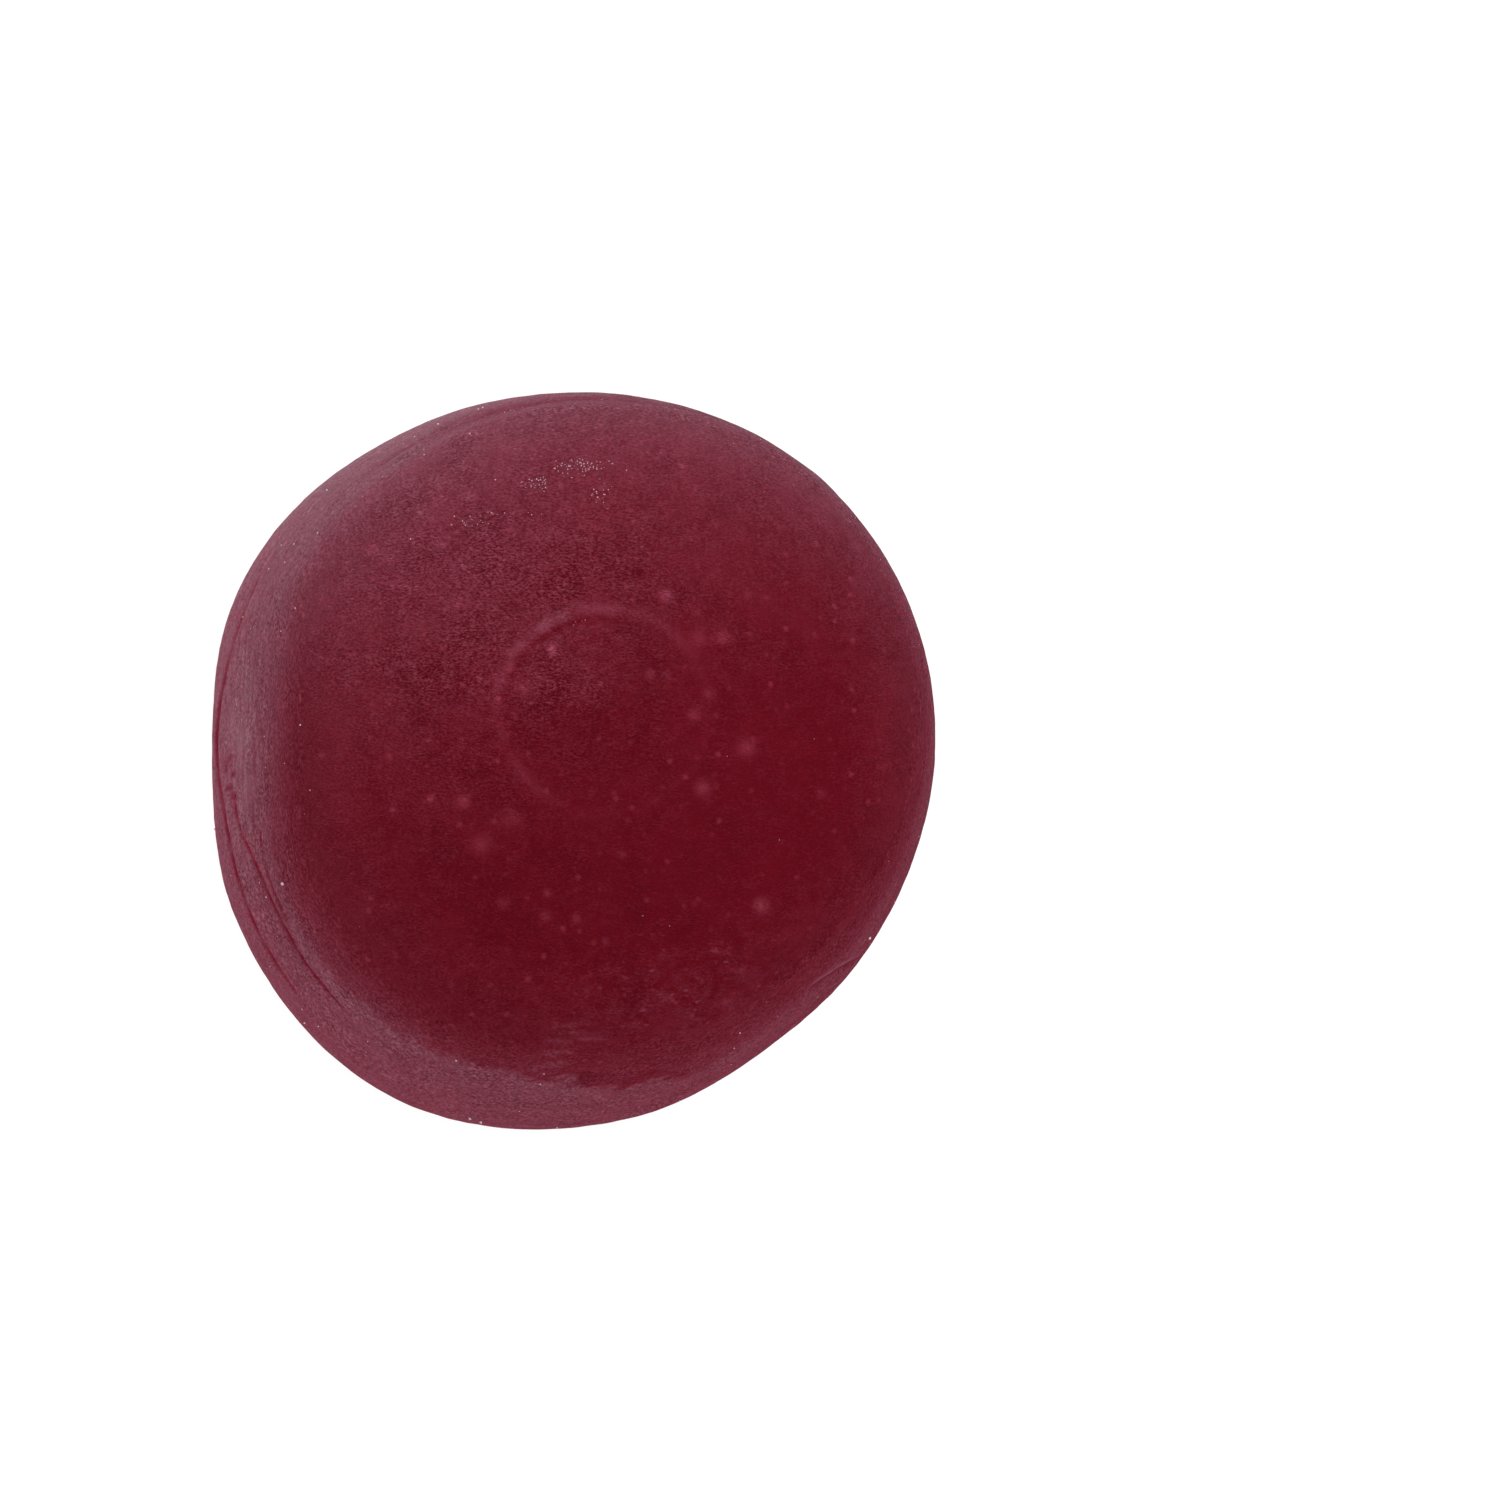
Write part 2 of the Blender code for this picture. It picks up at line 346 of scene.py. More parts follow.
fold_highlight = np.zeros(theta.shape)
fold_shade = np.zeros(theta.shape)
for *line, depth, half_width in SOFT_FOLDS:
    along, above, shown = course(*line)
    shown = shown * smooth_step(0.0, LONG_FADE_OUT, 1.0 - along)
    groove += depth * shown * bell(above + FOLD_DROP, half_width)
    groove -= 0.5 * depth * shown * bell(above, half_width)
    fold_highlight += shown * bell(above, FOLD_CREST)
    fold_shade += shown * bell(above + FOLD_DROP, half_width)
x = x - groove * np.cos(theta)
y = y - groove * np.sin(theta)

# dents and swells (negative) in the skin, as middle, reach and depth
DENTS = (
    ((-0.3, -7.7, 5.6), 0.5, 0.16),
    ((1.3, -5.4, 8.8), 0.7, -0.06),
    ((2.4, -5.7, 8.0), 0.6, 0.09),
    ((0.3, -6.4, 8.3), 0.6, 0.07),
    ((5.2, -4.6, 6.6), 0.9, 0.09),
    ((-4.4, 6.3, 6.6), 0.8, 0.08),
    ((-4.6, 2.2, 9.0), 1.8, 0.06),
    ((1.4, -6.1, 8.4), 0.22, -0.05),
    ((2.3, -5.05, 8.7), 0.25, -0.04),
    ((2.9, -5.3, 8.4), 0.18, -0.04),
    ((1.05, -5.05, 9.0), 0.16, -0.03),
    ((0.1, -6.25, 8.5), 0.18, -0.04),
    ((1.8, -5.6, 8.6), 0.35, 0.05),
)
grid = np.stack([x, y, z], axis=-1)
inward = np.array([0.0, 0.0, 0.5 * HEIGHT]) - grid
inward /= np.linalg.norm(inward, axis=-1, keepdims=True)
push = np.zeros(theta.shape)
for middle, reach, depth in DENTS:
    push += depth * np.exp(-np.sum((grid - middle) ** 2, axis=-1) / reach**2)

# curly lumps low on the top, longer from left to right than across
LUMP_HEIGHT = 0.045
LUMP_LENGTH = 0.75
LUMP_STRETCH = (0.7, 1.5, 1.0)
LUMP_FLOOR = -0.4                   # the hollows between them are no deeper

lump_place = oval((1.2, -5.9), (1.9, 0.9))
lumps = waves(grid * LUMP_STRETCH, LUMP_LENGTH, seed=9)
lumps = np.maximum(lumps, LUMP_FLOOR) * lump_place
push -= LUMP_HEIGHT * lumps

# fine wrinkles pulled across the lower edge of the top, each a slightly wavy ripple
WRINKLE_HEIGHT = 0.018
WRINKLE_SPACING = 0.26
WRINKLE_WAVE = 0.12                 # how far it waves, and how many radians to the
WRINKLE_TURN = 3.1                  # millimetre

pulled = oval((-0.9, -6.85), (0.45, 0.55))
across = (y + WRINKLE_WAVE * np.sin(WRINKLE_TURN * x)) / WRINKLE_SPACING
push += WRINKLE_HEIGHT * pulled * np.sin(2.0 * np.pi * across)
grid = grid + inward * push[..., None]

# skin relief, as height and length: broad unevenness, which is less on the lowest
# wall, then orange peel. There is none on the flat foot and at the two poles.
UNEVEN = ((0.011, 2.6), (0.005, 0.9))
ORANGE_PEEL = (0.0025, 0.38)
UNEVEN_LOWEST = 0.3                 # share of it below the lower of these heights
UNEVEN_HEIGHTS = (1.0, 3.5)

facing = normals_of(grid)
relief = sum(
    height * waves(grid, length, seed=seed) for seed, (height, length) in enumerate(UNEVEN, 3)
)
relief *= UNEVEN_LOWEST + (1.0 - UNEVEN_LOWEST) * smooth_step(*UNEVEN_HEIGHTS, z)
relief += ORANGE_PEEL[0] * waves(grid, ORANGE_PEEL[1], seed=5)
relief *= smooth_step(0.0, 0.6, z) * smooth_step(0.0, 0.3, radius)
grid = grid + facing * relief[..., None]

# stand the skin where the frame's solid stands
solid_low, solid_high = (np.array(corner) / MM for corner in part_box("gummy"))
low, high = grid.min(axis=(0, 1)), grid.max(axis=(0, 1))
grid[..., :2] += 0.5 * (solid_low + solid_high - low - high)[:2]
x, y, z = grid[..., 0], grid[..., 1], grid[..., 2]
facing = normals_of(grid)
side = 1.0 - smooth_step(0.3, 0.8, facing[..., 2])
measures = {"path": path, "z": z}


def patches(rows):
    """The sum of soft patches on the skin. Each is an amount, times a bell round the
    candy, times a bell along the path down the skin or along the height."""
    return sum(
        amount * facing_way(direction, reach) * bell(measures[by] - middle, spread)
        for amount, direction, reach, by, middle, spread in rows
    )


def slopes(rows):
    """The sum of soft-edged changes on the skin. Each is an amount, times a bell round
    the candy, times an S-curve along the path down the skin or along the height, from
    where the change starts to where it is full."""
    return sum(
        amount * facing_way(direction, reach) * smooth_step(start, full, measures[by])
        for amount, direction, reach, by, start, full in rows
    )


# bloom and sheen: the pale, dry haze of the skin together with a painted sheen, as a
# share of the fullest bloom. The sheen is painted on the upper left, where the light
# falls, and down the walls all round. On the upper left it grows steadily down the path,
# faster past the shoulder, with a band on the shoulder itself, and thins again low on the
# wall. All round it gathers past the shoulder, and a little lies on the middle of the
# top. Patches and slopes then change it by place, as amount, direction, half width in
# degrees, measure, and where.
# the haze and its painted sheen are strongest on this side, where the light falls
HAZE_AND_SHEEN_SIDE = 118.0
SHOULDER_PATH = 5.5                 # where the haze begins to gather
BLOOM_AND_SHEEN_PATCHES = (
    (-0.022, 98.0, 20.0, "path", 4.5, 2.5),
    (-0.015, 335.0, 22.0, "path", 5.8, 1.2),
    (0.012, 0.0, 20.0, "path", 7.6, 1.0),
    (0.022, 85.0, 35.0, "path", 7.6, 0.7),
    (0.035, 56.0, 20.0, "path", 8.0, 1.6),
    (0.030, 145.0, 16.0, "path", 8.2, 1.1),
    (-0.050, 100.0, 16.0, "path", 9.7, 0.9),
    (-0.040, 325.0, 45.0, "path", 10.2, 1.0),
    (-0.110, 105.0, 19.0, "path", 10.6, 0.7),
    (0.030, 182.0, 12.0, "z", 2.8, 1.2),
    (-0.025, 272.0, 10.0, "z", 3.2, 0.7),
    (0.040, 124.0, 12.0, "z", 3.9, 0.5),
    (-0.045, 248.0, 10.0, "z", 4.2, 0.9),
    (0.040, 45.0, 12.0, "z", 4.5, 0.8),
    (0.025, 225.0, 10.0, "z", 4.8, 1.0),
    (0.020, 332.0, 22.0, "z", 5.2, 1.0),
    (0.030, 236.0, 7.0, "z", 5.9, 0.6),
)
BLOOM_AND_SHEEN_SLOPES = (
    (0.09, 50.0, 22.0, "path", 6.3, 8.4),
    (-0.15, 98.0, 16.0, "path", 8.5, 11.5),
    (0.11, 105.0, 18.0, "z", 4.1, 2.5),
    (-0.08, 155.0, 12.0, "z", 3.6, 2.2),
    (-0.06, 325.0, 35.0, "z", 3.5, 1.5),
)

beyond = np.maximum(path - SHOULDER_PATH, 0.0)
off_side = angle_from(HAZE_AND_SHEEN_SIDE)
haze_reach = 50.0 - 7.0 * (off_side > 0.0) * smooth_step(4.5, 6.5, path)
bloom_and_sheen = 0.03 + 0.022 * path + 0.012 * beyond**1.6 + 0.03 * bell(path - 8.3, 0.8)
bloom_and_sheen = bloom_and_sheen * bell(off_side, haze_reach) * (1.0 - 0.4 * smooth_step(9.5, 13.0, path))
bloom_and_sheen += 0.018 * beyond**0.7 + 0.0016 * beyond**2 + 0.016 * bell(path, 1.6)
bloom_and_sheen += patches(BLOOM_AND_SHEEN_PATCHES) + slopes(BLOOM_AND_SHEEN_SLOPES)

# it is thicker down the wall, with streaks along it, and thin on the flat's shoulder
streaks = waves(grid * (0.3, 0.3, 1.5), 0.45, seed=10)
down_wall = smooth_step(7.5, 9.5, path)
bloom_and_sheen *= 1.0 + 0.2 * down_wall * (1.0 - 0.6 * smooth_step(9.5, 12.0, path))
bloom_and_sheen *= 1.0 + 0.07 * streaks * down_wall
bloom_and_sheen *= 1.0 - 0.38 * facing_way(184.0, 16.0) * bell(path - 8.0, 1.1)

# low on the wall a thicker coat ends upwards in a torn edge, which sinks to the right
# and is sharpest where it is torn most
COAT = 0.20                         # bloom that the full coat adds
COAT_SIDE = (252.0, 30.0)
TORN_SIDE = (280.0, 9.0)
RAGGED = 0.45                       # how far the edge strays up and down
TORN_EDGE = (
    # direction and height
    (190.0, 4.9), (215.0, 5.3), (250.0, 5.75), (264.0, 5.6), (267.0, 5.1), (272.0, 4.6),
    (276.0, 4.2), (281.0, 4.5), (287.0, 3.4), (292.0, 3.6), (320.0, 2.6),
)
ragged = 0.40 * waves(grid, 1.1, seed=6) + 0.35 * waves(grid, 0.35, seed=7)
above_edge = z - np.interp(np.degrees(theta), *zip(*TORN_EDGE)) + RAGGED * ragged
torn = facing_way(*TORN_SIDE)
softness = 0.35 - 0.2 * torn
coat = smooth_step(softness, -softness, above_edge) * (1.0 + 0.12 * ragged)
coat *= facing_way(*COAT_SIDE) * smooth_step(0.9, 5.6, z)
bloom_and_sheen += COAT * coat - 0.05 * torn * bell(above_edge - 0.5, 0.3)

# the flat's middle is greyest, with a fibrous look: bloom with a painted sheen where the
# flat faces the light
flat_middle = bell(y - 0.2, 1.5) * bell(z - 3.5, 0.9) * (x < 0.0)
bloom_and_sheen += 0.19 * flat_middle * np.clip(1.0 + 0.4 * streaks + 0.5 * ragged, 0.0, 2.0)

# folds have a pale crest with a painted highlight and a darker hollow with painted
# shade, and the wall is pale on the ledge over the second crease and between the first two
bloom_and_sheen *= 1.0 - 0.4 * fold_shade
bloom_and_sheen += 0.20 * fold_highlight
ledge = facing_way(208.0, 12.0) * bell(z - 5.0, 0.4)
bloom_and_sheen += 0.12 * ledge * (1.0 + 0.5 * ragged)
bloom_and_sheen += 0.05 * facing_way(200.0, 14.0) * bell(z - 3.0, 0.8)

# the ring's lip holds a line of bloom with a painted highlight, strongest on the upper
# left where the light falls, and just inside the lip on the upper left the disc's edge is
# kept clean as painted shade
lip = 0.08 + facing_way(112.0, 38.0) + 0.3 * facing_way(225.0, 16.0)
lip *= bell(from_ring - 0.05, 0.09) * on_top
bloom_and_sheen += 0.095 * lip * np.clip(0.9 + 0.3 * waves(grid, 0.55, seed=8), 0.1, 1.6)
bloom_and_sheen *= 1.0 - 0.85 * bell(from_ring + 0.17, 0.06) * facing_way(115.0, 32.0) * on_top
# a painted highlight on the crests of the lumps
bloom_and_sheen += 0.015 * np.clip(lumps - 0.2, 0.0, 1.5)

# small clean pits low on the flat, as places along and up the wall
PITS = ((-0.17, 2.25), (-0.36, 1.90), (-0.53, 2.55), (-0.84, 2.15), (-1.02, 2.60))
PIT_WIDTH, PIT_LENGTH = 0.06, 0.20

for pit_y, pit_z in PITS:
    bloom_and_sheen *= 1.0 - 0.85 * bell(y - pit_y, PIT_WIDTH) * bell(z - pit_z, PIT_LENGTH) * (x < 0.0)

# pale strokes: short pale marks on the tops of the lumps and over the pulled wrinkles,
# bloom with a painted highlight, as place on the top, half length, half width, turn in
# degrees and the bloom they add
PALE_STROKES = (
    (1.40, -6.03, 0.18, 0.035, -20.0, 0.06),
    (1.50, -6.22, 0.13, 0.040, 10.0, 0.05),
    (2.30, -4.94, 0.16, 0.045, -15.0, 0.06),
    (2.29, -5.15, 0.10, 0.040, 0.0, 0.05),
    (2.88, -5.32, 0.10, 0.045, 0.0, 0.06),
    (1.05, -5.05, 0.10, 0.040, 5.0, 0.05),
    (0.09, -6.27, 0.15, 0.040, 0.0, 0.05),
    (0.73, -6.26, 0.12, 0.040, 0.0, 0.04),
    (-0.92, -6.58, 0.26, 0.035, 5.0, 0.08),
    (-1.11, -6.92, 0.22, 0.045, -5.0, 0.08),
    (-1.24, -7.14, 0.28, 0.045, 5.0, 0.08),
    (-0.60, -6.75, 0.25, 0.035, 0.0, 0.05),
    (-0.42, -6.86, 0.32, 0.030, 0.0, 0.06),
    (-1.22, -7.38, 0.28, 0.040, 5.0, 0.10),
    (-0.98, -6.74, 0.16, 0.035, 10.0, 0.06),
)
for stroke_x, stroke_y, length, width, turn, added in PALE_STROKES:
    cosine, sine = np.cos(np.radians(turn)), np.sin(np.radians(turn))
    off_x, off_y = x - stroke_x, y - stroke_y
    stroke = bell(off_x * cosine + off_y * sine, length)
    stroke = stroke * bell(off_y * cosine - off_x * sine, width)
    bloom_and_sheen += added * stroke * on_top

# bubbles: soft pink spots just under the skin, as place on the top, reach and
# strength. A few are milky, and add bloom.
BUBBLES = (
    (1.07, 2.99, 0.15, 0.36), (2.36, 2.08, 0.15, 0.60), (1.81, 2.01, 0.16, 0.32),
    (2.88, -0.42, 0.19, 0.50), (1.90, -1.33, 0.16, 0.62), (3.30, -3.91, 0.16, 0.45),
    (1.69, 0.31, 0.13, 0.50), (2.01, 0.79, 0.10, 0.35), (0.69, 1.20, 0.11, 0.55),
    (-1.52, 1.74, 0.11, 0.60), (-2.13, 0.85, 0.13, 0.45), (-3.46, -1.67, 0.15, 0.60),
    (-3.06, -2.62, 0.20, 0.42), (-4.18, -1.62, 0.07, 0.90), (-2.43, -2.04, 0.24, 0.30),
    (0.09, -2.84, 0.07, 0.40), (-1.57, -3.70, 0.07, 0.60), (-0.91, -4.25, 0.08, 0.55),
    (-0.23, -4.74, 0.07, 0.45), (-5.43, 4.06, 0.12, 0.40), (2.95, 3.03, 0.08, 0.40),
    (4.64, -1.36, 0.11, 0.30), (-2.55, -3.92, 0.10, 0.38), (-1.59, -4.20, 0.11, 0.42),
    (-6.02, -4.76, 0.07, 0.30), (-4.90, -5.04, 0.07, 0.40),
)
MILKY_BUBBLES = (
    (1.10, 3.01, 0.13, 0.08), (3.28, -3.87, 0.15, 0.05), (-1.48, 1.74, 0.12, 0.08),
    (-2.13, 0.85, 0.20, 0.03), (1.07, 1.19, 0.10, 0.05),
)


def spots(rows):
    """The sum of round spots on the top, each of a place, a reach and a strength."""
    return sum(strength * oval(middle, (reach, reach)) for *middle, reach, strength in rows)


bubble = spots(BUBBLES)
bloom_and_sheen = np.clip(bloom_and_sheen + spots(MILKY_BUBBLES), 0.0, 1.0)

# painted light and shade: how much lighter or darker the skin is painted by place, in
# the bloom's measures
LIGHT_AND_SHADE_PATCHES = (
    (-0.03, 30.0, 60.0, "path", 1.6, 0.8),
    (0.09, 132.0, 45.0, "path", 3.2, 2.4),
    (-0.04, 322.0, 32.0, "path", 3.4, 0.8),
    (0.06, 350.0, 20.0, "path", 4.2, 2.4),
    (-0.06, 262.0, 58.0, "path", 4.6, 2.0),
    (-0.04, 40.0, 35.0, "path", 5.6, 1.2),
    (-0.06, 235.0, 35.0, "path", 5.7, 1.1),
    (0.04, 285.0, 18.0, "path", 6.5, 0.8),
    (-0.04, 128.0, 16.0, "path", 8.8, 1.0),
    (0.05, 240.0, 18.0, "z", 2.4, 0.6),
)
LIGHT_AND_SHADE_SLOPES = (
    (-0.15, 30.0, 55.0, "path", 6.0, 8.6),
    (-0.06, 58.0, 22.0, "path", 7.0, 9.0),
    (-0.05, 60.0, 60.0, "path", 7.0, 8.2),
    (-0.05, 90.0, 60.0, "path", 8.0, 9.5),
    (-0.06, 182.0, 14.0, "path", 5.9, 6.8),
    (-0.03, 345.0, 25.0, "path", 6.5, 7.5),
    (0.06, 158.0, 12.0, "z", 4.0, 2.5),
    (0.08, 205.0, 50.0, "z", 4.0, 2.0),
    (-0.03, 265.0, 20.0, "z", 6.0, 5.0),
)
painted_light_and_shade = patches(LIGHT_AND_SHADE_PATCHES) + slopes(LIGHT_AND_SHADE_SLOPES)
# painted shade past the shoulder, a little on the top, on the ledge and in the folds' hollows
painted_light_and_shade -= 0.08 * smooth_step(5.8, 7.6, path) + 0.008 * on_top + 0.06 * ledge + 0.13 * fold_shade

# short pale and dark flecks lie among the lumps and over the pulled wrinkles
flecked = np.maximum(oval((1.7, -5.8), (2.6, 1.1)), 0.8 * pulled)

# the grain is coarsest above and left of the ring, and comes and goes in patches
GRAIN_LEAST = 0.40
GRAIN_UPPER_LEFT = 0.62
GRAIN_AMONG_LUMPS = 0.06
GRAIN_ON_WALLS = 0.16
GRAIN_PATCHINESS = 0.16

coarseness = GRAIN_LEAST + GRAIN_UPPER_LEFT * oval((-2.1, 2.2), (3.4, 3.4))
coarseness += GRAIN_AMONG_LUMPS * lump_place
coarseness += GRAIN_ON_WALLS * side * smooth_step(0.8, 2.2, z)
for finer in (
    0.40 * bell(from_ring - 0.05, 0.15) * on_top,                       # ring's lip
    0.12 * smooth_step(0.1, -0.3, from_ring) * on_top,                  # inside it
    0.80 * np.minimum(1.6 * fold_highlight + fold_shade, 1.0),                # soft folds
    0.20 * facing_way(170.0, 16.0) * smooth_step(7.0, 8.0, path),       # the flat
    0.30 * facing_way(116.0, 26.0) * side,                              # upper left wall
    -0.06 * facing_way(205.0, 25.0) * side,                             # coarser, lower left
    0.35 * facing_way(225.0, 25.0) * side * smooth_step(3.2, 1.6, z),   # foot of that wall
):
    coarseness *= 1.0 - finer
coarseness *= np.clip(1.0 + GRAIN_PATCHINESS * waves(grid, 1.5, seed=12), 0.5, 1.5)


def skin_mesh(name, grid, fields):
    """A closed skin over a grid. Rows run from the top's middle to the foot's, and
    the first and last row are each one point. Columns run round, and the last joins
    the first. Each field is a value per grid point, kept as a point attribute."""
    count, columns = grid.shape[:2]
    inner = 1 + np.arange((count - 2) * columns).reshape(count - 2, columns)
    beside = np.roll(inner, -1, axis=1)
    last = 1 + inner.size
    quads = np.stack([inner[:-1], inner[1:], beside[1:], beside[:-1]], axis=-1)
    top = np.stack([np.zeros(columns, int), inner[0], beside[0]], axis=-1)
    foot = np.stack([np.full(columns, last), beside[-1], inner[-1]], axis=-1)

    def unrolled(values):
        between = values[1:-1].reshape(-1, *values.shape[2:])
        return np.concatenate([values[:1, 0], between, values[-1:, 0]])

    mesh = bpy.data.meshes.new(name)
    mesh.from_pydata(
        unrolled(grid * MM).tolist(), [],
        top.tolist() + quads.reshape(-1, 4).tolist() + foot.tolist(),
    )
    for label, values in fields.items():
        layer = mesh.attributes.new(label, "FLOAT", "POINT")
        layer.data.foreach_set("value", unrolled(values).astype(np.float32))
    mesh.shade_smooth()
    return mesh


candy_mesh = skin_mesh("candy", grid, {
    "bloom_and_sheen": bloom_and_sheen, "bubble": bubble, "side": side, "coarseness": coarseness,
    "painted_light_and_shade": painted_light_and_shade, "flecked": flecked, **red_fields,
})
candy = bpy.data.objects.new("candy", candy_mesh)
bpy.context.scene.collection.objects.link(candy)

# the gelatine: deep red where the skin is clean, paler and lilac under the bloom and the
# painted sheen, and dull, with a little light passing through the skin
CREASE_RED = (0.185, 0.011, 0.030, 1.0)
BUBBLE_PINK = (0.140, 0.026, 0.046, 1.0)    # added to the colour round it
BLOOM_AND_SHEEN_COLOURS = (
    # share of the full bloom, red, green, blue
    (0.000, 0.114, 0.0040, 0.0098),
    (0.047, 0.136, 0.0105, 0.0205),
    (0.122, 0.163, 0.0225, 0.0400),
    (0.216, 0.184, 0.0375, 0.0590),
    (0.334, 0.209, 0.0565, 0.0840),
    (0.478, 0.233, 0.0795, 0.1090),
    (1.000, 0.313, 0.1630, 0.2010),
)
SKIN_ROUGHNESS = 0.75
SKIN_GLOSS = 0.0
LIGHT_THROUGH = 0.5                 # share of the light that passes through the skin
LIGHT_REACH = (1.0, 0.08, 0.10)     # how far red, green and blue travel, in
LIGHT_SCALE = 0.3 * MM              # multiples of this

gelatine = bpy.data.materials.new("wine gelatine")
gelatine.use_nodes = True
nodes = gelatine.node_tree.nodes
links = gelatine.node_tree.links
shader = nodes["Principled BSDF"]
place = nodes.new("ShaderNodeTexCoord").outputs["Object"]


def feed(socket, value):
    """Give a socket a value, or link it to the socket that the value is."""
    if isinstance(value, bpy.types.NodeSocket):
        links.new(value, socket)
    else:
        socket.default_value = value


def field(name):
    """The skin's own value of that name."""
    made = nodes.new("ShaderNodeAttribute")
    made.attribute_name = name
    return made.outputs["Fac"]


def arithmetic(operation, *values, clamp=False):
    """Values joined by one operation."""
    made = nodes.new("ShaderNodeMath")
    made.operation = operation
    made.use_clamp = clamp
    for socket, value in zip(made.inputs, values):
        feed(socket, value)
    return made.outputs[0]


def blend(kind, share, under, over, way="MIX"):
    """The value or colour under, covered by the one over in the given share."""
    made = nodes.new("ShaderNodeMix")
    made.data_type = kind
    made.blend_type = way
    suffix = {"FLOAT": "Float", "RGBA": "Color"}[kind]
    for key, value in (("Factor_Float", share), ("A_" + suffix, under), ("B_" + suffix, over)):
        feed(next(s for s in made.inputs if s.identifier == key), value)
    return next(s for s in made.outputs if s.identifier == "Result_" + suffix)


def stretched(stretch):
    """The candy's own coordinates. A stretch below 1 makes what is drawn on them
    longer along that axis."""
    made = nodes.new("ShaderNodeMapping")
    feed(made.inputs["Vector"], place)
    made.inputs["Scale"].default_value = stretch
    return made.outputs[0]


def noise(scale, detail, roughness, stretch=(1.0, 1.0, 1.0)):
    """Cloudy noise between 0 and 1, of so many cells per metre."""
    made = nodes.new("ShaderNodeTexNoise")
    feed(made.inputs["Vector"], stretched(stretch))
    made.inputs["Scale"].default_value = scale
    made.inputs["Detail"].default_value = detail
    made.inputs["Roughness"].default_value = roughness
    return made.outputs["Fac"]


def about_zero(value):
    """A value between 0 and 1, brought down to lie about 0."""
    return arithmetic("SUBTRACT", value, 0.5)


def close_to(value, reach):
    """1 where a value is 0, and down an S-curve to 0 where it is the reach."""
    made = nodes.new("ShaderNodeMapRange")
    made.interpolation_type = "SMOOTHSTEP"
    feed(made.inputs["Value"], value)
    made.inputs["From Max"].default_value = reach
    made.inputs["To Min"].default_value = 1.0
    made.inputs["To Max"].default_value = 0.0
    return made.outputs[0]


def scattered_dots(scale, reach, stretch=(1.0, 1.0, 1.0)):
    """One round dot in each of so many cells per metre, fading out at the reach, and
    two numbers drawn at random for each cell."""
    cells = nodes.new("ShaderNodeTexVoronoi")
    feed(cells.inputs["Vector"], stretched(stretch))
    cells.inputs["Scale"].default_value = scale
    drawn = nodes.new("ShaderNodeSeparateColor")
    feed(drawn.inputs[0], cells.outputs["Color"])
    return close_to(cells.outputs["Distance"], reach), drawn.outputs[0], drawn.outputs[1]


# the skin's unevenness: grain, a broader mottle, and furrows between fine wrinkles.
# Grain and wrinkles run from left to right on the top. On the walls the grain is the
# same all ways, and the mottle is weaker. A noise is given as cells per metre, detail,
# roughness and stretch.
TOP_GRAIN = (27000.0, 1.0, 0.8, (0.5, 1.0, 0.9))
SIDE_GRAIN = (22000.0, 1.0, 0.8, (0.62, 0.62, 0.55))
TOP_WRINKLES = (14000.0, 1.0, 0.7, (0.45, 1.0, 0.6))
SIDE_WRINKLES = (9000.0, 1.0, 0.7, (0.7, 0.4, 0.45))
MOTTLE = (2400.0, 2.0, 0.8)
GRAIN_CONTRAST = 3.1
GRAIN_LEVEL = -0.17                 # balances the furrows, which only add
MOTTLE_ON_TOP, MOTTLE_ON_SIDE = 1.3, 0.5
FURROW_CONTRAST = 2.4
DEEPEST = -0.62                     # no pit goes deeper

grain = blend("FLOAT", field("side"), noise(*TOP_GRAIN), noise(*SIDE_GRAIN))
wrinkle = blend("FLOAT", field("side"), noise(*TOP_WRINKLES), noise(*SIDE_WRINKLES))
mottling = arithmetic("MULTIPLY_ADD", field("side"), MOTTLE_ON_SIDE - MOTTLE_ON_TOP, MOTTLE_ON_TOP)
furrow = arithmetic("ABSOLUTE", about_zero(wrinkle))
unevenness = arithmetic("MULTIPLY_ADD", about_zero(grain), GRAIN_CONTRAST, GRAIN_LEVEL)
unevenness = arithmetic("MULTIPLY_ADD", about_zero(noise(*MOTTLE)), mottling, unevenness)
unevenness = arithmetic("MULTIPLY_ADD", furrow, FURROW_CONTRAST, unevenness)
unevenness = arithmetic("MAXIMUM", unevenness, DEEPEST)
unevenness = arithmetic("MULTIPLY", unevenness, field("coarseness"))

# flecks and wisps: some cells, drawn by lot, hold a pale fleck and some a dark one
FLECK_CELLS = 6500.0
FLECK_REACH = 0.36
FLECK_STRETCH = (0.55, 1.0, 1.0)
PALE_ABOVE, PALE_BLOOM = 0.50, 0.45     # lots above the first are flecks, as strong as
DARK_ABOVE, DARK_BLOOM = 0.70, 0.30     # the second times how far they are above it
WISPS = (3400.0, 2.0, 0.8, (0.7, 1.0, 1.0))
WISP_BLOOM, WISP_AMONG_FLECKS = 0.04, 0.14

